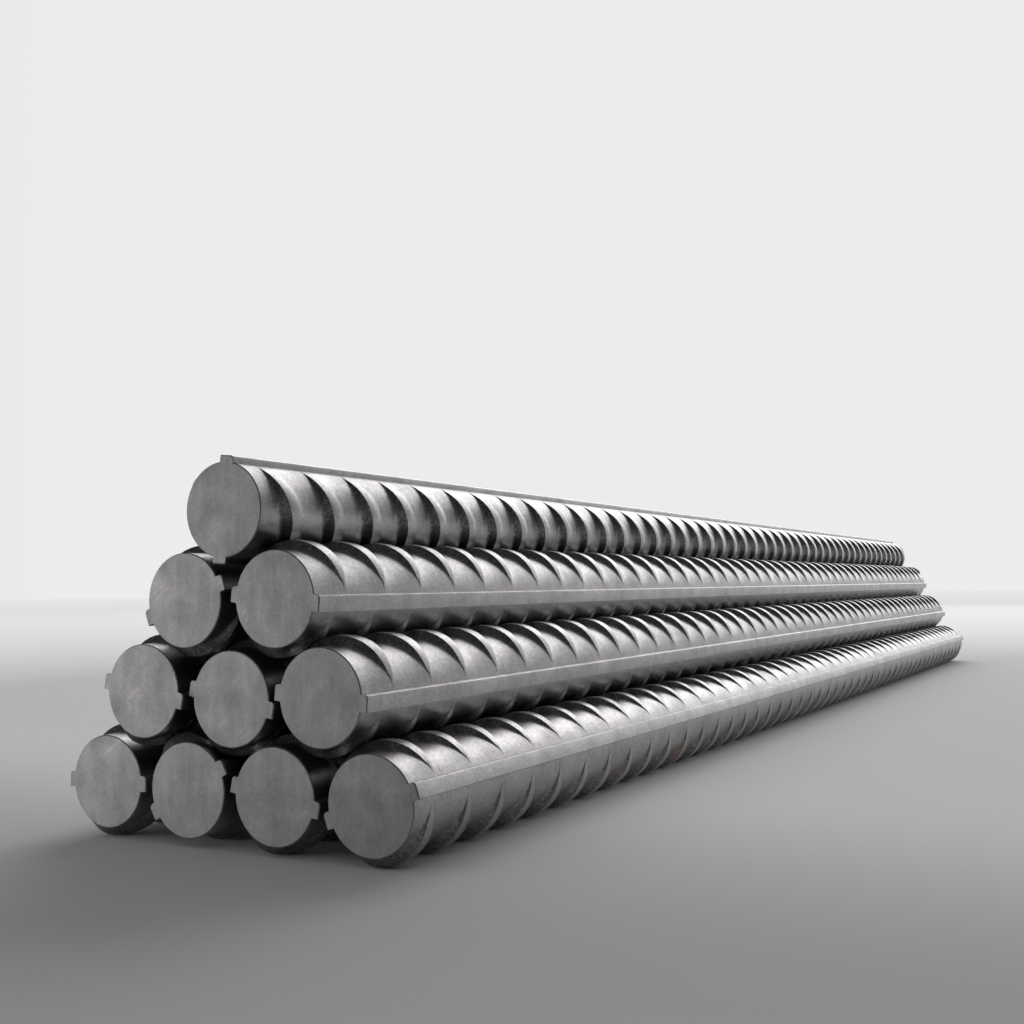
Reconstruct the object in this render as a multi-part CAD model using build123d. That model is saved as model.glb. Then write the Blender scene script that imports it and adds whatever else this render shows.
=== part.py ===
from build123d import *
import math
import os
from typing import NamedTuple

# Ten straight lengths of hot-rolled ribbed reinforcing bar, stacked in rows of four, three, two and one.
# X runs along the bars away from the cut ends that face the viewer, Z is up, and the origin is on the
# floor under the middle of the bundle.

# One bar, of 36 mm nominal size
bar_length = 1200.0
core_diameter = 35.0
long_rib_height = 2.3
long_rib_width = 5.9
cross_rib_height = 4.0
cross_rib_half_angle = 70.0
bare_end = 5.0
end_chamfer = 0.5

# How the bars lie: the facing long ribs of a row stand row_gap apart, a bar lies seat_gap clear of the
# two that carry it, and the cross ribs of one reach rib_mesh into the gaps between the ribs of the other
row_gap = 0.9
seat_gap = 0.3
rib_mesh = 1.8

core_radius = core_diameter / 2
row_pitch = core_diameter + 2 * long_rib_height + row_gap

# A cross rib is a crescent: its crest is one arc, highest in the middle, that runs down to the core at
# its tips. A ribbed length is drawn at the level where two meshing bars bear on each other, which is
# half of rib_mesh under the crests.
bearing_height = cross_rib_height - rib_mesh / 2
bearing_reach = core_radius + bearing_height
crest_offset = (bearing_reach**2 - core_radius**2) / (
    2 * (bearing_reach - core_radius * math.cos(math.radians(cross_rib_half_angle)))
)
crest_radius = bearing_reach - crest_offset
crest_reach = 2 * crest_radius + seat_gap


class Bar(NamedTuple):
    """A bar of the stack: its node, the turn of its long ribs from level, and its end's setback."""

    node: str
    turn: float
    setback: float


# Every row from left to right, as seen from the near ends, which is from +Y to -Y
rows = [
    [
        Bar("bottom_bar_1", -0.5, 1.5),
        Bar("bottom_bar_2", -29.5, 1.2),
        Bar("bottom_bar_3", 10.0, 0.6),
        Bar("bottom_bar_4", -19.5, 0.8),
    ],
    [
        Bar("lower_bar_1", 9.7, -1.0),
        Bar("lower_bar_2", 10.3, 1.0),
        Bar("lower_bar_3", 4.0, 0.0),
    ],
    [
        Bar("upper_bar_1", -20.0, -1.2),
        Bar("upper_bar_2", 5.0, 0.3),
    ],
    [
        Bar("top_bar", 95.0, -1.5),
    ],
]


def rib_normal(turn):
    """Unit vector, across the bar, from its axis to the middle of one row of cross ribs."""
    angle = math.radians(turn)
    return Vector(-math.sin(angle), math.cos(angle))


def floor_height(turn):
    """Height of a bar's axis when it rests on the floor at this turn."""
    angle = math.radians(turn)
    on_cross_rib = crest_radius + crest_offset * abs(math.cos(angle))
    on_long_rib = (core_radius + long_rib_height) * abs(math.sin(angle)) + (
        long_rib_width / 2 * abs(math.cos(angle))
    )
    return max(on_cross_rib, on_long_rib)


def facing_crest(place, turn, target):
    """Step from a bar's axis to the centre of its crest arc on the side that faces the target."""
    normal = rib_normal(turn)
    side = 1 if normal.dot(target - place) > 0 else -1
    return normal * side * crest_offset


def clear_point(carrier, turn, guess):
    """Point that the axis of a bar stays crest_reach away from, to lie seat_gap clear of a carrier."""
    bar, place = carrier
    return place + facing_crest(place, bar.turn, guess) - facing_crest(guess, turn, place)


def drop(across, turn, carriers):
    """Place of a bar that its neighbours keep at this distance across, let down onto its carriers."""
    guess = Vector(across, carriers[0][1].Y + row_pitch)
    points = [clear_point(carrier, turn, guess) for carrier in carriers]
    heights = [point.Y + math.sqrt(crest_reach**2 - (across - point.X) ** 2) for point in points]
    return Vector(across, max(heights))


def settle(turn, carriers):
    """Place of a lone bar that has rolled into the groove between two others and bears on both."""
    guess = (carriers[0][1] + carriers[1][1]) * 0.5 + Vector(0, row_pitch)
    left, right = (clear_point(carrier, turn, guess) for carrier in carriers)
    span = left - right
    lift = math.sqrt(crest_reach**2 - (span.length / 2) ** 2)
    return (left + right) * 0.5 + Vector(-span.Y, span.X).normalized() * lift


def bar_places():
    """Every bar of the stack with the place of its axis, worked out row by row from the floor."""
    placed = []
    below = []
    for row in rows:
        level = []
        for index, bar in enumerate(row):
            across = ((len(row) - 1) / 2 - index) * row_pitch
            carriers = below[index : index + 2]
            if not below:
                place = Vector(across, floor_height(bar.turn))
            elif len(row) > 1:
                place = drop(across, bar.turn, carriers)
            else:
                place = settle(bar.turn, carriers)
            level.append((bar, place))
        placed += level
        below = level
    return placed


def bar_solid():
    """One bar about the X axis, with level long ribs and its bare cut ends."""
    long_ribs = Rectangle(core_diameter + 2 * long_rib_height, long_rib_width)
    section = Circle(core_radius) + long_ribs
    blank = extrude(Plane.YZ * section, bar_length)
    ends = blank.faces().filter_by(Axis.X)
    blank = chamfer(ends.edges(), end_chamfer)
    crests = Pos(0, crest_offset) * Circle(crest_radius) + Pos(0, -crest_offset) * Circle(crest_radius)
    ribbed = extrude(Plane.YZ * (section + crests), bar_length - 2 * bare_end)
    return Pos(-bar_length / 2, 0, 0) * (blank + Pos(bare_end, 0, 0) * ribbed)


def main():
    """Writes each bar of the stack to its own file."""
    os.makedirs("parts", exist_ok=True)
    bar_shape = bar_solid()
    for bar, place in bar_places():
        shape = Pos(bar.setback, place.X, place.Y) * Rot(bar.turn, 0, 0) * bar_shape
        export_step(shape, f"parts/{bar.node}.step")


main()
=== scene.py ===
"""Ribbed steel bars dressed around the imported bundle, with their finishes, studio and camera.

Everything is in metres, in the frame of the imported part: X runs along the bars, away from the
cut ends that face the viewer, Z is up, and the origin is on the floor under the middle.
"""

from __future__ import annotations

import logging
import math
from collections.abc import Callable
from dataclasses import dataclass, field
from enum import Enum

import bmesh
import bpy
from mathutils import Matrix, Vector

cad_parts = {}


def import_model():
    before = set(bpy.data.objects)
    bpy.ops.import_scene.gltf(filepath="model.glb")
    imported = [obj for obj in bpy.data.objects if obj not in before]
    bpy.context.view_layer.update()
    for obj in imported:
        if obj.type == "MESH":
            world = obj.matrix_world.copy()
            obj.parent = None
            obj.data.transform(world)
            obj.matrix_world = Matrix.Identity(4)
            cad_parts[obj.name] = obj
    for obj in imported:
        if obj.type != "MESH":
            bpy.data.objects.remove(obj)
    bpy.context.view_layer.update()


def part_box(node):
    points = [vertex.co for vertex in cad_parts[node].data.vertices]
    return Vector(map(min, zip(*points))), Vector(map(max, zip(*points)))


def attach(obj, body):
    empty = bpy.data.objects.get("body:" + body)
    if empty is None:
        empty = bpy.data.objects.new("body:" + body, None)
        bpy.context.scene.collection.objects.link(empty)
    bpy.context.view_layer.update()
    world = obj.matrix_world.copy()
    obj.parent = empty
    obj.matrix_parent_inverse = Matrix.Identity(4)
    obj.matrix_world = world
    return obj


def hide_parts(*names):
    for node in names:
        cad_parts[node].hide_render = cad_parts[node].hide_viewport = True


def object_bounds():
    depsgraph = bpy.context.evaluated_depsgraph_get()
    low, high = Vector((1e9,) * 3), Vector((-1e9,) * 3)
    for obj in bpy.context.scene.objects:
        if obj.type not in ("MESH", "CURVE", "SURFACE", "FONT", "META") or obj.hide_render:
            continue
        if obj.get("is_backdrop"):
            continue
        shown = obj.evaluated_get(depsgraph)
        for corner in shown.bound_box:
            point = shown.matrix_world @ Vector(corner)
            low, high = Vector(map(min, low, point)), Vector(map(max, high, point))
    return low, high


LOG = logging.getLogger("rebar_bundle")
MM = 0.001
NEAR_ZERO = 1e-6
WELD = 0.001 * MM
AT_THE_STATION = 0.01 * MM
ON_THE_SAW_CUT = 0.02 * MM
CLEAR_OF_THE_LONG_RIB = 0.1 * MM
BISECT_THRESHOLD = 1e-7
SQUARE_ON = 0.99
MIDDLE = 0.5
WHITE = (1.0, 1.0, 1.0, 1.0)

# Where a Mix node keeps its sockets for colours
MIX_FACTOR = 0
MIX_FIRST = 6
MIX_SECOND = 7
MIX_RESULT = 2


class Part(Enum):
    """What an edit selects."""

    POINTS = "VERT"
    EDGES = "EDGE"
    FACES = "FACE"


class Side(Enum):
    """The two rows of cross ribs between the long ribs, by the sign of their height."""

    UPPER = 1
    LOWER = -1


def work_on(piece: bpy.types.Object) -> None:
    """Makes one object the only selected one, and active.

    Args:
        piece: The object that the next operators shape.
    """
    bpy.ops.object.select_all(action="DESELECT")
    piece.select_set(True)
    bpy.context.view_layer.objects.active = piece


def pick(piece: bpy.types.Object, part: Part, wanted: Callable[..., bool]) -> int:
    """Selects the points, edges or faces of a piece in edit mode by a test.

    Args:
        piece: The object in edit mode.
        part: Which kind of element is tested.
        wanted: The test, which gets one element.

    Returns:
        How many elements are selected.
    """
    bpy.ops.mesh.select_mode(type=part.value)
    bpy.ops.mesh.select_all(action="DESELECT")
    mesh = bmesh.from_edit_mesh(piece.data)
    items = {Part.POINTS: mesh.verts, Part.EDGES: mesh.edges, Part.FACES: mesh.faces}[part]
    found = [item for item in items if wanted(item)]
    for item in found:
        item.select_set(True)
    mesh.select_flush_mode()
    bmesh.update_edit_mesh(piece.data)
    return len(found)


def apply_modifiers(piece: bpy.types.Object) -> None:
    """Applies every modifier of a piece in its order.

    Args:
        piece: The object whose modifiers become mesh.
    """
    work_on(piece)
    for name in [modifier.name for modifier in piece.modifiers]:
        bpy.ops.object.modifier_apply(modifier=name)


def apply_place(piece: bpy.types.Object) -> None:
    """Moves the place, turn and scale of a piece into its mesh."""
    work_on(piece)
    bpy.ops.object.transform_apply(location=True, rotation=True, scale=True)


@dataclass(frozen=True)
class RolledSection:
    """Sizes of the bar's rolled shape.

    The cross ribs are crescents that lean: each is highest midway between the long ribs, runs out
    into the core at both tips, and lies in a plane that is turned a little from square.
    """

    core_radius: float = 17.5 * MM
    long_rib_height: float = 2.3 * MM
    long_rib_width: float = 5.9 * MM
    long_rib_round: float = 1.1 * MM
    cross_rib_height: float = 3.8 * MM
    cross_rib_half_angle: float = math.radians(73.5)
    cross_rib_lean: float = 0.35
    pitch: float = 25.7 * MM
    stagger: float = 7.1 * MM
    land: float = 6.4 * MM
    land_edge: float = 0.93
    land_taper: float = 0.4
    flank_slope: float = math.radians(50.0)
    foot_fillet: float = 3.2 * MM
    columns: int = 54
    fillet_steps: int = 3
    least_taper: float = 0.04

    def crest_share(self, angle: float) -> float:
        """Height of the crest over the core, as a share of its full height.

        Args:
            angle: Angle round the bar from the crescent's middle, in radians.

        Returns:
            The share, which is nothing past the crescent's tips.
        """
        reach = min(abs(angle) / self.cross_rib_half_angle, 1.0)
        return (1 - reach**2) ** 2

    def flank(self) -> list[tuple[float, float]]:
        """The rib's flank: straight below the land, then a fillet that leaves the core smoothly.

        Returns:
            Pairs of the distance from the land's edge and the share of the crest's height.
        """
        fillet_rise = self.foot_fillet * (1 - math.cos(self.flank_slope))
        fillet_reach = self.foot_fillet * math.sin(self.flank_slope)
        straight_rise = self.cross_rib_height * self.land_edge - fillet_rise
        reach = straight_rise / math.tan(self.flank_slope) + fillet_reach
        steps = [(0.0, self.land_edge)]
        for step in range(self.fillet_steps, -1, -1):
            tilt = self.flank_slope * step / self.fillet_steps
            rise = self.foot_fillet * (1 - math.cos(tilt))
            steps.append((reach - self.foot_fillet * math.sin(tilt), rise / self.cross_rib_height))
        return steps

    def stations(self) -> list[tuple[float, float]]:
        """The rib's section along the bar.

        Returns:
            Pairs of the place from the rib's middle and the share of the crest's height.
        """
        half = self.land / 2
        far = [(half + reach, share) for reach, share in self.flank()]
        near = [(-place, share) for place, share in reversed(far)]
        return [*near, (0.0, 1.0), *far]


@dataclass
class RolledPitch:
    """One pitch of the rolled shape, open at both ends, which repeats along every bar.

    Its axis is X, the long ribs are at its two sides along Y and the cross ribs above and below.
    """

    section: RolledSection = field(default_factory=RolledSection)
    rib_attribute: str = "rib_rise"
    columns_to_rib_foot: float = 1.5
    rib_round_steps: int = 2
    cage_size: float = 3.0

    @property
    def column_angle(self) -> float:
        """Angle round the bar of one column of faces."""
        return 2 * math.pi / self.section.columns

    @property
    def long_rib_angle(self) -> float:
        """Angle from the long rib's middle to its foot."""
        return self.columns_to_rib_foot * self.column_angle

    def rib_place(self, side: Side) -> float:
        """Where the middle of one side's cross rib is, from the start of the pitch."""
        return self.section.pitch / 2 + self.section.stagger / 2 * side.value

    def build(self) -> bpy.types.Object:
        """Models the pitch.

        Returns:
            The pitch's object, which the bars copy.
        """
        section = self.section
        bpy.ops.object.select_all(action="DESELECT")
        bpy.ops.mesh.primitive_cylinder_add(
            vertices=section.columns,
            radius=section.core_radius,
            depth=section.pitch,
            end_fill_type="NOTHING",
            rotation=(0, math.pi / 2, 0),
            location=(section.pitch / 2, 0, 0),
        )
        piece = bpy.context.object
        piece.name = "rolled_pitch"
        apply_place(piece)
        piece.rotation_euler.x = self.column_angle / 2
        apply_place(piece)
        for side in Side:
            self._cut_rings(piece, side)
        self._raise_cross_ribs(piece)
        for side in Side:
            self._taper_cross_ribs(piece, side)
        self._raise_long_ribs(piece)
        self._lean(piece)
        return piece

    def _from_crescent(self, place: Vector) -> tuple[float, Side]:
        """Angle of a point from the middle of the crescent on its side, and that side."""
        side = Side.UPPER if place.z > 0 else Side.LOWER
        return abs(math.atan2(place.y, place.z * side.value)), side

    def _cut_rings(self, piece: bpy.types.Object, side: Side) -> None:
        """Cuts a ring of edges at each station of the ribs on one side.

        Args:
            piece: The plain core.
            side: The row of ribs.
        """
        low = self.section.core_radius * math.sin(self.long_rib_angle)
        bpy.ops.object.mode_set(mode="EDIT")
        for place, _share in self.section.stations():
            pick(piece, Part.FACES, lambda face: face.calc_center_median().z * side.value > low)
            bpy.ops.mesh.bisect(
                plane_co=(self.rib_place(side) + place, 0, 0),
                plane_no=(1, 0, 0),
                threshold=BISECT_THRESHOLD,
            )
        bpy.ops.object.mode_set(mode="OBJECT")

    def _raise_cross_ribs(self, piece: bpy.types.Object) -> None:
        """Lifts the rings to the section of the cross ribs.

        Args:
            piece: The core with its rings.
        """
        section = self.section
        stations = section.stations()
        heights = [0.0] * len(piece.data.vertices)
        group = piece.vertex_groups.new(name="cross_ribs")
        for point in piece.data.vertices:
            angle, side = self._from_crescent(point.co)
            along = point.co.x - self.rib_place(side)
            place, share = min(stations, key=lambda station: abs(station[0] - along))
            if abs(place - along) < AT_THE_STATION:
                height = section.crest_share(angle) * share
                heights[point.index] = height
                group.add([point.index], height, "REPLACE")
        rise = piece.data.attributes.new(self.rib_attribute, "FLOAT", "POINT")
        rise.data.foreach_set("value", heights)
        lift = piece.modifiers.new("cross_ribs", "DISPLACE")
        lift.vertex_group = group.name
        lift.mid_level = 0.0
        lift.strength = section.cross_rib_height
        apply_modifiers(piece)

    def _taper_cross_ribs(self, piece: bpy.types.Object, side: Side) -> None:
        """Narrows the ribs on one side from their middle to their tips, column by column.

        Args:
            piece: The pitch with its ribs lifted.
            side: The row of ribs.
        """
        section = self.section
        start = self.rib_place(side)
        bpy.ops.object.mode_set(mode="EDIT")
        for column in range(section.columns // 4 + 1):
            angle = column * self.column_angle
            share = section.crest_share(angle)
            slim = max(share, section.least_taper)
            spread = section.land / 2 * (slim**section.land_taper - slim)
            for half in (-1, 1):
                if pick(piece, Part.POINTS, lambda point: self._in_half_column(point.co, side, angle, half)):
                    bpy.ops.transform.resize(value=(slim, 1, 1), center_override=(start, 0, 0))
                    bpy.ops.transform.translate(value=(half * spread, 0, 0))
        bpy.ops.object.mode_set(mode="OBJECT")

    def _in_half_column(self, place: Vector, side: Side, angle: float, half: int) -> bool:
        """Whether a point is in one column of its row of ribs, on one half of the rib.

        Args:
            place: The point.
            side: The row of ribs.
            angle: The column's angle from the middle of the crescent.
            half: The half of the rib, by the sign of its place along the bar.

        Returns:
            Whether the point is there, and not on the pitch's open ends.
        """
        here, its_side = self._from_crescent(place)
        inside = NEAR_ZERO < place.x < self.section.pitch - NEAR_ZERO
        beside = (place.x - self.rib_place(side)) * half > NEAR_ZERO
        return inside and beside and its_side is side and abs(here - angle) < self.column_angle / 4

    def _raise_long_ribs(self, piece: bpy.types.Object) -> None:
        """Draws the flat-topped long ribs out of both sides of the core, with a rounded upper edge.

        Args:
            piece: The pitch with its cross ribs.
        """
        section = self.section
        foot = section.core_radius * math.sin(self.long_rib_angle)
        wall = section.core_radius * math.cos(self.long_rib_angle)
        top = section.core_radius + section.long_rib_height
        bpy.ops.object.mode_set(mode="EDIT")
        for sign in (1, -1):
            pick(piece, Part.FACES, lambda face: (
                face.calc_center_median().y * sign > 0
                and abs(face.calc_center_median().z) < foot
            ))
            bpy.ops.mesh.dissolve_faces()
        pick(piece, Part.POINTS, lambda point: abs(point.co.z) < foot / 2)
        bpy.ops.mesh.dissolve_verts()
        pick(piece, Part.FACES, lambda face: abs(face.calc_center_median().z) < foot / 2)
        bpy.ops.mesh.extrude_region_move()
        bpy.ops.transform.resize(
            value=(1, top / wall, section.long_rib_width / 2 / foot),
            center_override=(section.pitch / 2, 0, 0),
        )
        pick(piece, Part.FACES, lambda face: abs(face.normal.x) > SQUARE_ON)
        bpy.ops.mesh.delete(type="FACE")
        pick(piece, Part.EDGES, lambda edge: (
            abs(abs(edge.verts[0].co.y) - abs(edge.verts[1].co.y)) > section.long_rib_height / 2
            and all(NEAR_ZERO < point.co.x < section.pitch - NEAR_ZERO for point in edge.verts)
            and all(abs(point.co.z) < foot + NEAR_ZERO for point in edge.verts)
        ))
        bpy.ops.mesh.dissolve_edges(use_verts=True)
        pick(piece, Part.EDGES, lambda edge: (
            all(abs(point.co.y) > top - NEAR_ZERO and point.co.z > 0 for point in edge.verts)
            and abs(edge.verts[0].co.x - edge.verts[1].co.x) > NEAR_ZERO
        ))
        bpy.ops.mesh.bevel(offset=section.long_rib_round, segments=self.rib_round_steps, affect="EDGES")
        bpy.ops.object.mode_set(mode="OBJECT")

    def _lean(self, piece: bpy.types.Object) -> None:
        """Leans the whole pitch, so that the cross ribs lie in planes turned from square.

        Args:
            piece: The pitch with all its ribs.
        """
        section = self.section
        room = self.cage_size * section.core_radius
        bpy.ops.object.select_all(action="DESELECT")
        bpy.ops.object.add(type="LATTICE", location=(section.pitch / 2, 0, 0))
        cage = bpy.context.object
        cage.scale = (room, room, room)
        cage.data.interpolation_type_u = "KEY_LINEAR"
        cage.data.interpolation_type_v = "KEY_LINEAR"
        cage.data.interpolation_type_w = "KEY_LINEAR"
        for corner in cage.data.points:
            corner.co_deform.x = corner.co.x - section.cross_rib_lean * corner.co.y
        bpy.context.view_layer.update()
        lean = piece.modifiers.new("lean", "LATTICE")
        lean.object = cage
        apply_modifiers(piece)
        bpy.data.objects.remove(cage)


@dataclass(frozen=True)
class Bar:
    """One bar of the stack: its CAD node, its turn in degrees, and its ribs' start and pitch."""

    node: str
    turn: float
    first_rib: float
    pitch: float


@dataclass
class BarStack:
    """The ten bars, each a run of the rolled pitch cut to length."""

    pitch: RolledPitch = field(default_factory=RolledPitch)
    bare_end: float = 3.2 * MM
    run_out: float = 2.6 * MM
    end_chamfer: float = 0.35 * MM
    smooth_under: float = math.radians(25.0)
    bars: tuple[Bar, ...] = (
        Bar("bottom_bar_1", -0.5, 15.0 * MM, 25.7 * MM),
        Bar("bottom_bar_2", -29.5, 2.0 * MM, 25.7 * MM),
        Bar("bottom_bar_3", 10.0, 14.4 * MM, 25.45 * MM),
        Bar("bottom_bar_4", -19.5, 12.5 * MM, 24.95 * MM),
        Bar("lower_bar_1", 9.7, 15.0 * MM, 25.7 * MM),
        Bar("lower_bar_2", 10.3, 14.6 * MM, 25.7 * MM),
        Bar("lower_bar_3", 4.0, 14.2 * MM, 25.45 * MM),
        Bar("upper_bar_1", -20.0, 14.6 * MM, 25.7 * MM),
        Bar("upper_bar_2", 5.0, 13.4 * MM, 25.7 * MM),
        Bar("top_bar", 95.0, 16.6 * MM, 25.82 * MM),
    )

    def build(self, rolled: bpy.types.Material, sawn: bpy.types.Material) -> list[bpy.types.Object]:
        """Models every bar in the place of its CAD node.

        Args:
            rolled: The finish of the rolled surface.
            sawn: The finish of the cut ends.

        Returns:
            The bars.
        """
        pitch = self.pitch.build()
        made = [self._bar(pitch, bar, (rolled, sawn)) for bar in self.bars]
        bpy.data.objects.remove(pitch)
        return made

    def _bar(
        self, pitch: bpy.types.Object, bar: Bar, finishes: tuple[bpy.types.Material, ...],
    ) -> bpy.types.Object:
        """Models one bar, puts it where its node is and lets it stand for the node.

        Args:
            pitch: The rolled pitch.
            bar: Which bar it is.
            finishes: The finish of the rolled surface, then that of the cut ends.

        Returns:
            The bar.
        """
        low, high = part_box(bar.node)
        length = high.x - low.x
        piece = pitch.copy()
        piece.data = pitch.data.copy()
        piece.name = f"{bar.node}_ribbed"
        bpy.context.scene.collection.objects.link(piece)
        self._run(piece, bar, length)
        self._cut_ends(piece, length)
        self._dress(piece, finishes, length)
        piece.rotation_euler.x = math.radians(bar.turn)
        piece.location = [(start + end) / 2 for start, end in zip(low, high)]
        apply_place(piece)
        bpy.ops.object.shade_smooth_by_angle(angle=self.smooth_under)
        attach(piece, "root")
        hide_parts(bar.node)
        LOG.info("%s: %d faces", piece.name, len(piece.data.polygons))
        return piece

    def _run(self, piece: bpy.types.Object, bar: Bar, length: float) -> None:
        """Repeats the pitch past both ends, with the first upper rib at its place.

        Args:
            piece: The bar's copy of the rolled pitch.
            bar: Which bar it is.
            length: The bar's length.
        """
        drawn_out = bar.pitch / self.pitch.section.pitch
        piece.scale.x = drawn_out
        apply_place(piece)
        rib = self.pitch.rib_place(Side.UPPER) * drawn_out
        before = math.ceil((bar.first_rib - rib) / bar.pitch + 1)
        start = bar.first_rib - rib - before * bar.pitch - length / 2
        repeat = piece.modifiers.new("pitches", "ARRAY")
        repeat.count = math.ceil((length / 2 - start) / bar.pitch) + 1
        repeat.use_relative_offset = False
        repeat.use_constant_offset = True
        repeat.constant_offset_displace = (bar.pitch, 0, 0)
        repeat.use_merge_vertices = True
        repeat.merge_threshold = WELD
        apply_modifiers(piece)
        piece.location.x = start
        apply_place(piece)

    def _cut_ends(self, piece: bpy.types.Object, length: float) -> None:
        """Saws both ends square, where the cross ribs run out, and gives them a small chamfer.

        Args:
            piece: The run of pitches, which is longer than the bar.
            length: The bar's length.
        """
        smaller = 1 - self.end_chamfer / self.pitch.section.core_radius
        plain = self.bare_end - self.run_out - self.end_chamfer
        bpy.ops.object.mode_set(mode="EDIT")
        for end in (-1, 1):
            shoulder = end * (length / 2 - self.bare_end)
            bpy.ops.mesh.select_all(action="SELECT")
            bpy.ops.mesh.bisect(
                plane_co=(shoulder, 0, 0),
                plane_no=(end, 0, 0),
                use_fill=True,
                clear_outer=True,
                threshold=BISECT_THRESHOLD,
            )
            pick(piece, Part.FACES, lambda face: (
                abs(face.calc_center_median().x - shoulder) < ON_THE_SAW_CUT
                and abs(face.normal.x) > SQUARE_ON
            ))
            self._draw_out(end * self.run_out)
            self._round_off(piece)
            self._draw_out(end * plain)
            self._draw_out(end * self.end_chamfer)
            bpy.ops.transform.resize(
                value=(1, smaller, smaller),
                center_override=(end * length / 2, 0, 0),
            )
        bpy.ops.mesh.select_all(action="SELECT")
        bpy.ops.mesh.remove_doubles(threshold=WELD)
        bpy.ops.mesh.normals_make_consistent(inside=False)
        bpy.ops.object.mode_set(mode="OBJECT")

    def _draw_out(self, distance: float) -> None:
        """Extrudes the selected cut face along the bar."""
        bpy.ops.mesh.extrude_region_move(TRANSFORM_OT_translate={"value": (distance, 0, 0)})

    def _round_off(self, piece: bpy.types.Object) -> None:
        """Brings what is left of the cross ribs in the selected face down to the core.

        Args:
            piece: The bar in edit mode.
        """
        section = self.pitch.section
        beside = section.long_rib_width / 2 + CLEAR_OF_THE_LONG_RIB
        mesh = bmesh.from_edit_mesh(piece.data)
        for point in [point for point in mesh.verts if point.select]:
            reach = math.hypot(point.co.y, point.co.z)
            if reach > section.core_radius and abs(point.co.z) > beside:
                point.co.y *= section.core_radius / reach
                point.co.z *= section.core_radius / reach
        bmesh.update_edit_mesh(piece.data)

    def _dress(
        self, piece: bpy.types.Object, finishes: tuple[bpy.types.Material, ...], length: float,
    ) -> None:
        """Gives the rolled surface and the sawn ends, with their chamfers, their finishes.

        Args:
            piece: The bar, cut to length.
            finishes: The finish of the rolled surface, then that of the cut ends.
            length: The bar's length.
        """
        rolled_to = length / 2 - self.end_chamfer
        piece.data.materials.clear()
        for finish in finishes:
            piece.data.materials.append(finish)
        for face in piece.data.polygons:
            face.material_index = 1 if abs(face.center.x) > rolled_to else 0


class NodeSheet:
    """Shorthand for building a node tree: adds nodes and wires them."""

    def __init__(self, tree: bpy.types.NodeTree) -> None:
        """Starts on a tree that may hold nodes already."""
        self.tree = tree

    def add(self, kind: str, **values: object) -> bpy.types.Node:
        """Adds a node.

        Args:
            kind: Blender's name of the node type.
            values: Properties of the node, and its inputs by name with spaces as underscores.

        Returns:
            The new node.
        """
        node = self.tree.nodes.new(kind)
        for name, value in values.items():
            if hasattr(node, name):
                setattr(node, name, value)
            else:
                node.inputs[name.replace("_", " ")].default_value = value
        return node

    def wire(self, start: bpy.types.NodeSocket, end: bpy.types.NodeSocket) -> None:
        """Joins an output to an input."""
        self.tree.links.new(start, end)

    def give(
        self,
        source: bpy.types.NodeSocket | float | tuple[float, float, float],
        end: bpy.types.NodeSocket,
    ) -> None:
        """Joins an output to an input, or sets the input to a plain value.

        Args:
            source: The output, or the value.
            end: The input.
        """
        if isinstance(source, bpy.types.NodeSocket):
            self.wire(source, end)
        else:
            end.default_value = source

    def calculate(
        self, operation: str, *sources: bpy.types.NodeSocket | float, clamp: bool = False,
    ) -> bpy.types.NodeSocket:
        """Adds a Math node.

        Args:
            operation: Blender's name of the operation.
            sources: What its inputs get, in their order: outputs of other nodes, or values.
            clamp: Whether the result stays between 0 and 1.

        Returns:
            The result.
        """
        node = self.add("ShaderNodeMath", operation=operation, use_clamp=clamp)
        for source, end in zip(sources, node.inputs):
            self.give(source, end)
        return node.outputs["Value"]

    def remap(
        self,
        source: bpy.types.NodeSocket,
        given: tuple[float, float] = (0.0, 1.0),
        wanted: tuple[float, float] = (0.0, 1.0),
        smooth: bool = False,
    ) -> bpy.types.NodeSocket:
        """Adds a Map Range node.

        Args:
            source: The value that it reads.
            given: The two values that are turned into the wanted ones.
            wanted: The ends of the result's range, which it keeps to.
            smooth: Whether the result leaves both ends smoothly.

        Returns:
            The result.
        """
        node = self.add("ShaderNodeMapRange", interpolation_type="SMOOTHSTEP" if smooth else "LINEAR")
        for name, value in zip(("From Min", "From Max", "To Min", "To Max"), (*given, *wanted)):
            node.inputs[name].default_value = value
        self.wire(source, node.inputs["Value"])
        return node.outputs["Result"]

    def noise(self, place: bpy.types.NodeSocket, **values: float) -> bpy.types.NodeSocket:
        """Adds a noise texture.

        Args:
            place: Where the texture is read.
            values: Its inputs by name.

        Returns:
            The noise, which lies round one half.
        """
        node = self.add("ShaderNodeTexNoise", **values)
        self.wire(place, node.inputs["Vector"])
        return node.outputs["Fac"]

    def stretch(
        self, place: bpy.types.NodeSocket, amounts: bpy.types.NodeSocket | tuple[float, float, float],
    ) -> bpy.types.NodeSocket:
        """Multiplies each axis of a place by its own amount.

        Args:
            place: The place.
            amounts: The three amounts, of which a small one draws a texture out.

        Returns:
            The new place.
        """
        node = self.add("ShaderNodeVectorMath", operation="MULTIPLY")
        self.wire(place, node.inputs[0])
        self.give(amounts, node.inputs[1])
        return node.outputs["Vector"]

    def axis(self, vector: bpy.types.NodeSocket, name: str) -> bpy.types.NodeSocket:
        """Takes one axis out of a vector.

        Args:
            vector: The vector.
            name: X, Y or Z.

        Returns:
            That axis alone.
        """
        node = self.add("ShaderNodeSeparateXYZ")
        self.wire(vector, node.inputs["Vector"])
        return node.outputs[name]


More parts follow.
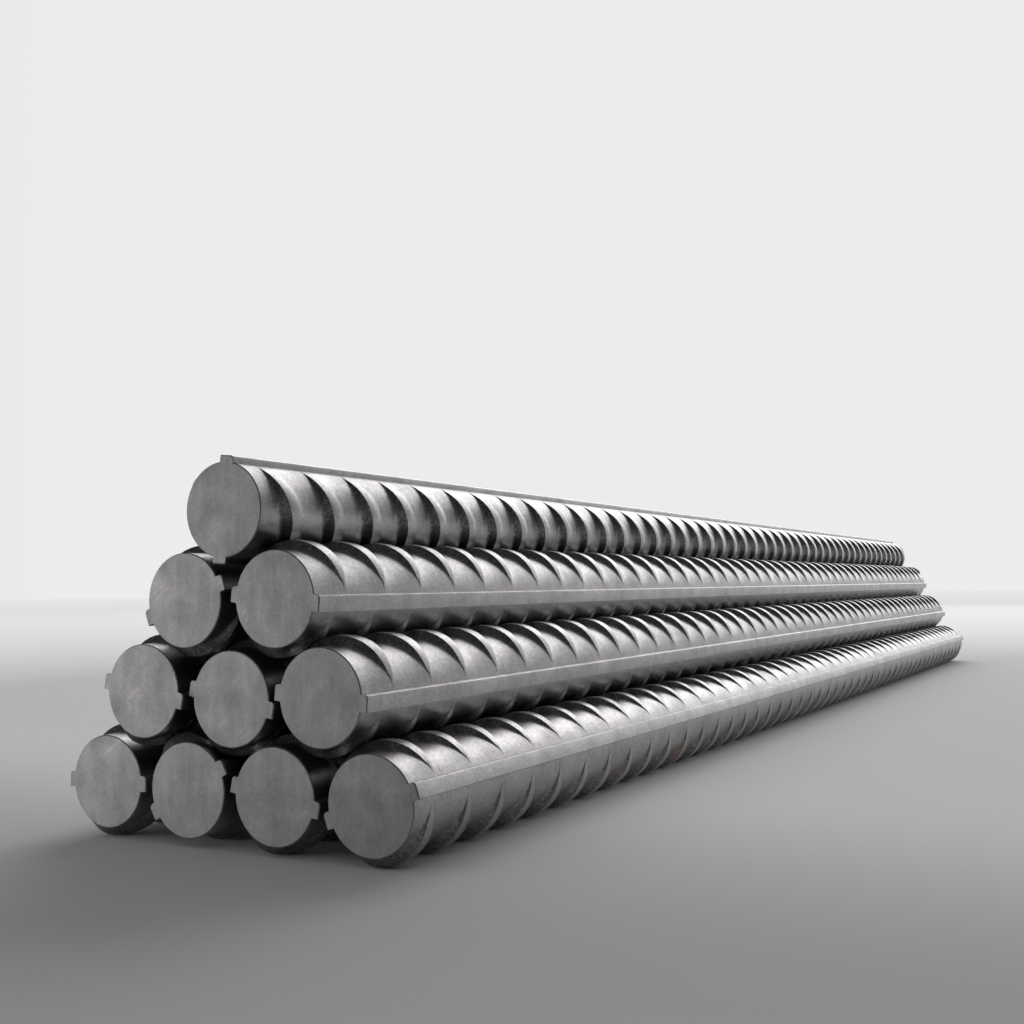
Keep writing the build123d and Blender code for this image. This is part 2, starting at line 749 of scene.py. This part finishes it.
@dataclass(frozen=True)
class SteelGrain:
    """The unevenness of bare steel, as a node group that both finishes share.

    Its blotches, fine speckle, streaks and fine scratches make one shade round one half. It also
    puts out a height for the smallest bumps, a mask of small specks and a mask of a few stains.
    """

    name: str = "steel_grain"
    blotch_scale: float = 80.0
    speckle_scale: float = 900.0
    speck_limits: tuple[float, float] = (0.46, 0.66)
    speckle_height: float = 0.35
    streak_scale: float = 260.0
    stain_scale: float = 28.0
    stain_limits: tuple[float, float] = (0.60, 0.70)
    scratch_scale: float = 800.0
    scratch_slant: float = 0.7
    scratch_stretch: tuple[float, float, float] = (0.3, 0.05, 1.0)
    scratch_limits: tuple[float, float] = (0.62, 0.70)
    scratched_blotches: tuple[float, float] = (0.52, 0.60)

    def build(self) -> bpy.types.NodeTree:
        """Builds the group.

        Returns:
            The node group.
        """
        tree = bpy.data.node_groups.new(self.name, "ShaderNodeTree")
        for socket in ("Vector", "Stretch"):
            tree.interface.new_socket(socket, in_out="INPUT", socket_type="NodeSocketVector")
        for socket in ("Blotches", "Speckle", "Streaks", "Scratches"):
            tree.interface.new_socket(socket, in_out="INPUT", socket_type="NodeSocketFloat")
        for socket in ("Shade", "Height", "Specks", "Stains"):
            tree.interface.new_socket(socket, in_out="OUTPUT", socket_type="NodeSocketFloat")
        sheet = NodeSheet(tree)
        given = sheet.add("NodeGroupInput").outputs
        result = sheet.add("NodeGroupOutput").inputs
        place = given["Vector"]
        drawn = sheet.stretch(place, given["Stretch"])
        blotch = sheet.noise(place, Scale=self.blotch_scale, Detail=4.0, Roughness=0.62)
        speckle = sheet.noise(place, Scale=self.speckle_scale, Detail=3.0, Roughness=0.7)
        streak = sheet.noise(drawn, Scale=self.streak_scale, Detail=5.0, Roughness=0.7)
        stain = sheet.noise(place, Scale=self.stain_scale, Detail=3.0)
        shade = MIDDLE
        for texture, amount in ((blotch, "Blotches"), (speckle, "Speckle"), (streak, "Streaks")):
            centred = sheet.calculate("SUBTRACT", texture, MIDDLE)
            shade = sheet.calculate("MULTIPLY_ADD", centred, given[amount], shade)
        scratches = self._scratches(sheet, place, blotch)
        shade = sheet.calculate("MULTIPLY_ADD", scratches, given["Scratches"], shade)
        height = sheet.calculate("MULTIPLY_ADD", speckle, self.speckle_height, blotch)
        sheet.wire(shade, result["Shade"])
        sheet.wire(height, result["Height"])
        sheet.wire(sheet.remap(speckle, self.speck_limits), result["Specks"])
        sheet.wire(sheet.remap(stain, self.stain_limits), result["Stains"])
        return tree

    def _scratches(
        self, sheet: NodeSheet, place: bpy.types.NodeSocket, blotch: bpy.types.NodeSocket,
    ) -> bpy.types.NodeSocket:
        """Makes a mask of fine slanting scratches, which show only where the blotches are light.

        Args:
            sheet: The group's nodes.
            place: Where the textures are read.
            blotch: The noise of the blotches.

        Returns:
            The mask.
        """
        turned = sheet.add("ShaderNodeVectorRotate", rotation_type="X_AXIS", Angle=self.scratch_slant)
        sheet.wire(place, turned.inputs["Vector"])
        drawn = sheet.stretch(turned.outputs["Vector"], self.scratch_stretch)
        lines = sheet.remap(sheet.noise(drawn, Scale=self.scratch_scale, Detail=1.0), self.scratch_limits)
        return sheet.calculate("MULTIPLY", lines, sheet.remap(blotch, self.scratched_blotches))


@dataclass(frozen=True)
class SteelFinish:
    """A finish of bare steel: its shade, its gloss and how much of the shared grain it shows."""

    name: str
    dark: float
    light: float
    tint: tuple[float, float, float]
    metallic: float
    smooth: float
    rough: float
    blotches: float
    speckle: float
    streaks: float
    scratches: float
    stretch: tuple[float, float, float]
    bump: float
    crest_shine: float
    # How dark the flanks get: mill scale, and painted shade where the surface faces along the bar.
    scale_and_shade_on_flanks: float
    stains: float
    bump_depth: float = 0.3 * MM
    shiny_rise: tuple[float, float] = (0.35, 0.9)
    flank_lean: tuple[float, float] = (0.05, 0.75)
    light_in_scale: float = 0.45
    stain_heights: tuple[float, float] = (30.0 * MM, 15.0 * MM)
    stain_colour: tuple[float, float, float, float] = (0.30, 0.17, 0.10, 1.0)

    def build(self, grain: bpy.types.NodeTree, rib_attribute: str) -> bpy.types.Material:
        """Builds the material.

        Args:
            grain: The node group of the shared unevenness.
            rib_attribute: Attribute of the mesh that says how far a point stands up as a cross rib.

        Returns:
            The finish.
        """
        material = bpy.data.materials.new(self.name)
        material.use_nodes = True
        sheet = NodeSheet(material.node_tree)
        shader = material.node_tree.nodes["Principled BSDF"]
        shader.inputs["Metallic"].default_value = self.metallic
        place = sheet.add("ShaderNodeTexCoord").outputs
        grained = sheet.add(
            "ShaderNodeGroup",
            node_tree=grain,
            Stretch=self.stretch,
            Blotches=self.blotches,
            Speckle=self.speckle,
            Streaks=self.streaks,
            Scratches=self.scratches,
        )
        sheet.wire(place["Object"], grained.inputs["Vector"])
        flank = self._flank_scale_and_shade(sheet, place["Normal"])
        colour = sheet.add("ShaderNodeMix", data_type="RGBA")
        sheet.wire(self._stained(sheet, grained, flank, place["Object"]), colour.inputs[MIX_FACTOR])
        sheet.wire(self._steel(sheet, grained, flank, rib_attribute), colour.inputs[MIX_FIRST])
        colour.inputs[MIX_SECOND].default_value = self.stain_colour
        sheet.wire(colour.outputs[MIX_RESULT], shader.inputs["Base Color"])
        gloss = sheet.remap(grained.outputs["Shade"], wanted=(self.rough, self.smooth))
        sheet.wire(gloss, shader.inputs["Roughness"])
        bump = sheet.add("ShaderNodeBump", Strength=self.bump, Distance=self.bump_depth)
        sheet.wire(grained.outputs["Height"], bump.inputs["Height"])
        sheet.wire(bump.outputs["Normal"], shader.inputs["Normal"])
        return material

    def _flank_scale_and_shade(self, sheet: NodeSheet, normal: bpy.types.NodeSocket) -> bpy.types.NodeSocket:
        """Makes the mask of the cross ribs' flanks, by how far their normal turns along the bar: the dark
        scale of the rolling mill, and painted shade where the surface faces along the bar.
        """
        along = sheet.calculate("ABSOLUTE", sheet.axis(normal, "X"))
        return sheet.remap(along, self.flank_lean, (0.0, self.scale_and_shade_on_flanks), smooth=True)

    def _stained(
        self,
        sheet: NodeSheet,
        grained: bpy.types.Node,
        flank: bpy.types.NodeSocket,
        place: bpy.types.NodeSocket,
    ) -> bpy.types.NodeSocket:
        """Makes the mask of the rust stains, which lie on the flanks near the floor.

        Args:
            sheet: The material's nodes.
            grained: The node of the shared grain.
            flank: The mask of the flanks.
            place: The place on the bar.

        Returns:
            The mask.
        """
        low_down = sheet.remap(sheet.axis(place, "Z"), self.stain_heights, (0.0, self.stains))
        low_flank = sheet.calculate("MULTIPLY", low_down, flank)
        return sheet.calculate("MULTIPLY", grained.outputs["Stains"], low_flank)

    def _steel(
        self,
        sheet: NodeSheet,
        grained: bpy.types.Node,
        flank: bpy.types.NodeSocket,
        rib_attribute: str,
    ) -> bpy.types.NodeSocket:
        """Makes the steel's colour, shinier on the crests and dark on the flanks, with mill scale and
        painted shade.

        Args:
            sheet: The material's nodes.
            grained: The node of the shared grain.
            flank: The mask of the flanks' scale and painted shade.
            rib_attribute: Attribute of the mesh that says how far a point stands up as a cross rib.

        Returns:
            The colour.
        """
        rise = sheet.add("ShaderNodeAttribute", attribute_name=rib_attribute).outputs["Fac"]
        shine = sheet.remap(rise, self.shiny_rise, (0.0, self.crest_shine), smooth=True)
        shade = sheet.remap(grained.outputs["Shade"], wanted=(self.dark, self.light))
        bright = sheet.calculate("ADD", shade, shine)
        # Painted shade: the flanks are darkened, as mill scale and as shade, with lighter specks in the
        # scale.
        scale = sheet.calculate("MULTIPLY_ADD", grained.outputs["Specks"], self.light_in_scale, -1.0)
        dulled_and_shaded = sheet.calculate("MULTIPLY_ADD", scale, flank, 1.0)
        colour = sheet.add("ShaderNodeVectorMath", operation="SCALE")
        colour.inputs[0].default_value = self.tint
        sheet.wire(sheet.calculate("MULTIPLY", bright, dulled_and_shaded), colour.inputs["Scale"])
        return colour.outputs["Vector"]


ROLLED = SteelFinish(
    name="rolled_steel",
    dark=0.33,
    light=0.57,
    tint=(1.04, 1.0, 1.02),
    metallic=1.0,
    smooth=0.32,
    rough=0.46,
    blotches=1.2,
    speckle=1.6,
    streaks=0.45,
    scratches=0.0,
    stretch=(1.0, 0.15, 0.15),
    bump=0.3,
    crest_shine=0.02,
    # Mill scale and painted shade on the rib flanks.
    scale_and_shade_on_flanks=0.65,
    stains=0.75,
)
SAWN = SteelFinish(
    name="sawn_steel",
    dark=0.22,
    light=0.54,
    tint=(1.045, 1.0, 1.01),
    metallic=0.7,
    smooth=0.5,
    rough=0.66,
    blotches=0.8,
    speckle=0.5,
    streaks=0.45,
    scratches=0.16,
    stretch=(1.0, 1.0, 0.12),
    bump=0.15,
    crest_shine=0.0,
    scale_and_shade_on_flanks=0.0,
    stains=0.0,
)


@dataclass(frozen=True)
class Lamp:
    """A soft rectangular lamp that points at a place."""

    name: str
    place: tuple[float, float, float]
    target: tuple[float, float, float]
    size: tuple[float, float]
    power: float
    spread: float


@dataclass
class Studio:
    """The floor, the backdrop, the lamps, the surroundings and the camera."""

    floor_height: float
    floor_size: float = 60.0
    floor_roughness: float = 0.9
    floor_gloss: float = 0.1
    # Painted shade: the floor's colour is darker near the bars.
    floor_tones_with_painted_shade: tuple[float, float] = (0.15, 0.75)
    floor_pale: float = 0.24
    floor_pale_from: float = 0.7
    horizon_share: float = 0.95
    # Painted shadow on the floor's glow, in the hollows under the bars and before their cut ends.
    contact_shade_reach: float = 0.07
    contact_shade_samples: int = 4
    end_shade: float = 0.35
    end_shade_along: tuple[float, float] = (-0.66, -0.40)
    backdrop_radius: float = 10.0
    backdrop_height: float = 7.0
    backdrop_sides: int = 96
    backdrop_pale: float = 0.84
    pale_towards: float = math.radians(15.0)
    pale_limits: tuple[float, float] = (0.42, 0.82)
    surroundings: float = 0.10
    camera_place: tuple[float, float, float] = (-0.94851, -0.30137, 0.09454)
    camera_yaw: float = 0.48855
    camera_pitch: float = 0.05781
    camera_roll: float = -0.0088
    camera_sight: tuple[float, float] = (0.01, 100.0)
    lens: float = 43.624
    sensor: float = 36.0
    lamps: tuple[Lamp, ...] = (
        Lamp(
            name="back_softbox",
            place=(3.4, 0.75, 2.15),
            target=(-0.55, 0.0, 0.1),
            size=(3.9, 3.7),
            power=47.0,
            spread=math.radians(130.0),
        ),
        Lamp(
            name="end_fill",
            place=(-0.98, 0.62, 0.07),
            target=(-0.6, 0.0, 0.05),
            size=(0.5, 0.14),
            power=1.3,
            spread=math.pi,
        ),
    )

    def build(self) -> None:
        """Sets up everything round the bars."""
        self._floor()
        self._backdrop()
        self._lamps()
        self._surroundings()
        self._camera()

    def _floor(self) -> None:
        """Lays a pale floor under the lowest rib, with painted shade round the bars.

        It glows as pale as the backdrop far away. Near the bars its colour and its glow are darker, as
        painted shade, and a painted shadow darkens the glow in the hollows under them and before their cut
        ends.
        """
        bpy.ops.object.select_all(action="DESELECT")
        bpy.ops.mesh.primitive_plane_add(size=self.floor_size, location=(0, 0, self.floor_height))
        floor = bpy.context.object
        floor.name = "floor"
        material = bpy.data.materials.new("pale_floor")
        material.use_nodes = True
        sheet = NodeSheet(material.node_tree)
        shader = material.node_tree.nodes["Principled BSDF"]
        shader.inputs["Roughness"].default_value = self.floor_roughness
        shader.inputs["Specular IOR Level"].default_value = self.floor_gloss
        shader.inputs["Emission Color"].default_value = WHITE
        place = sheet.add("ShaderNodeTexCoord").outputs["Object"]
        away = sheet.add("ShaderNodeVectorMath", operation="LENGTH")
        sheet.wire(place, away.inputs[0])
        nearness = sheet.calculate("DIVIDE", self.floor_pale_from, away.outputs["Value"], clamp=True)
        sheet.wire(sheet.remap(nearness, wanted=self.floor_tones_with_painted_shade), shader.inputs["Base Color"])
        # Painted shade: the glow is darker near the bars than far away.
        horizon = self.horizon_share * self.backdrop_pale
        pale = sheet.remap(nearness, (1.0, 0.0), (self.floor_pale, horizon))
        # Painted contact shadow: the glow darkens where the bars are close above it.
        corner_shadow = sheet.add(
            "ShaderNodeAmbientOcclusion",
            samples=self.contact_shade_samples,
            Distance=self.contact_shade_reach,
        )
        # Painted shade on the glow before the cut ends.
        along = sheet.axis(place, "X")
        beside = sheet.remap(along, self.end_shade_along, (self.end_shade, 1.0), smooth=True)
        shade = sheet.calculate("MULTIPLY", beside, corner_shadow.outputs["AO"])
        glow = sheet.calculate("MULTIPLY", pale, shade)
        sheet.wire(self._only_shown(sheet, glow), shader.inputs["Emission Strength"])
        floor.data.materials.append(material)
        floor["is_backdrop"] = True

    def _only_shown(self, sheet: NodeSheet, strength: bpy.types.NodeSocket) -> bpy.types.NodeSocket:
        """Limits a strength to what the camera, metal and glass see, so that it lights nothing.

        Args:
            sheet: The material's nodes.
            strength: The strength of its glow.

        Returns:
            The strength that is left.
        """
        path = sheet.add("ShaderNodeLightPath").outputs
        seen = path["Is Camera Ray"]
        for kind in ("Is Glossy Ray", "Is Transmission Ray"):
            seen = sheet.calculate("MAXIMUM", seen, path[kind])
        return sheet.calculate("MULTIPLY", strength, seen)

    def _backdrop(self) -> None:
        """Stands a round backdrop far behind everything, pale on the side that the camera sees.

        It shows itself to the camera and to the metal, and gives the object no other light.
        """
        bpy.ops.object.select_all(action="DESELECT")
        bpy.ops.mesh.primitive_cylinder_add(
            vertices=self.backdrop_sides,
            radius=self.backdrop_radius,
            depth=self.backdrop_height,
            end_fill_type="NOTHING",
            location=(0, 0, self.floor_height + self.backdrop_height / 2),
        )
        wall = bpy.context.object
        wall.name = "backdrop"
        apply_place(wall)
        bpy.ops.object.shade_smooth()
        material = bpy.data.materials.new("pale_backdrop")
        material.use_nodes = True
        nodes = material.node_tree.nodes
        nodes.remove(nodes["Principled BSDF"])
        sheet = NodeSheet(material.node_tree)
        place = sheet.add("ShaderNodeTexCoord").outputs["Object"]
        facing = sheet.add("ShaderNodeVectorMath", operation="DOT_PRODUCT")
        facing.inputs[1].default_value = (math.cos(self.pale_towards), math.sin(self.pale_towards), 0.0)
        sheet.wire(place, facing.inputs[0])
        pale = sheet.remap(
            facing.outputs["Value"],
            (self.pale_limits[0] * self.backdrop_radius, self.pale_limits[1] * self.backdrop_radius),
            (self.surroundings, self.backdrop_pale),
            smooth=True,
        )
        glow = sheet.add("ShaderNodeEmission")
        sheet.wire(self._only_shown(sheet, pale), glow.inputs["Strength"])
        sheet.wire(glow.outputs["Emission"], nodes["Material Output"].inputs["Surface"])
        wall.data.materials.append(material)
        wall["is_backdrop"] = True

    def _lamps(self) -> None:
        """Hangs the lamps and points them."""
        for lamp in self.lamps:
            light = bpy.data.lights.new(lamp.name, "AREA")
            light.shape = "RECTANGLE"
            light.size, light.size_y = lamp.size
            light.energy = lamp.power
            light.spread = lamp.spread
            holder = bpy.data.objects.new(lamp.name, light)
            holder.location = lamp.place
            aim = Vector(lamp.target) - Vector(lamp.place)
            holder.rotation_euler = aim.to_track_quat("-Z", "Y").to_euler()
            bpy.context.scene.collection.objects.link(holder)

    def _surroundings(self) -> None:
        """Fills the room round the object with a plain dim grey."""
        world = bpy.data.worlds.new("studio")
        bpy.context.scene.world = world
        world.use_nodes = True
        background = world.node_tree.nodes["Background"]
        background.inputs["Color"].default_value = WHITE
        background.inputs["Strength"].default_value = self.surroundings

    def _camera(self) -> None:
        """Puts the camera where the photograph was taken from."""
        data = bpy.data.cameras.new("camera")
        data.lens = self.lens
        data.sensor_width = self.sensor
        data.clip_start, data.clip_end = self.camera_sight
        camera = bpy.data.objects.new("camera", data)
        bpy.context.scene.collection.objects.link(camera)
        camera.location = self.camera_place
        yaw, pitch = self.camera_yaw, self.camera_pitch
        ahead = Vector((math.cos(pitch) * math.cos(yaw), math.cos(pitch) * math.sin(yaw), math.sin(pitch)))
        level = Vector((math.sin(yaw), -math.cos(yaw), 0.0))
        above = level.cross(ahead)
        turn, lean = math.cos(self.camera_roll), math.sin(self.camera_roll)
        right = turn * level + lean * above
        top = turn * above - lean * level
        camera.rotation_euler = Matrix((right, top, -ahead)).transposed().to_euler()
        bpy.context.scene.camera = camera


def plain_box(bounds: tuple[Vector, Vector]) -> list[list[float]]:
    """A box as plain lists of numbers."""
    return [[float(number) for number in corner] for corner in bounds]


def main() -> None:
    """Builds the bars and the studio."""
    logging.basicConfig(level=logging.INFO)
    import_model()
    stack = BarStack()
    grain = SteelGrain().build()
    rolled, sawn = (finish.build(grain, stack.pitch.rib_attribute) for finish in (ROLLED, SAWN))
    bars = stack.build(rolled, sawn)
    LOG.info("%d bars dressed", len(bars))
    bpy.context.view_layer.update()
    visual_box = plain_box(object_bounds())
    Studio(floor_height=visual_box[0][2]).build()
    bpy.context.scene.view_settings.view_transform = "Standard"


if __name__ == "__main__":
    main()
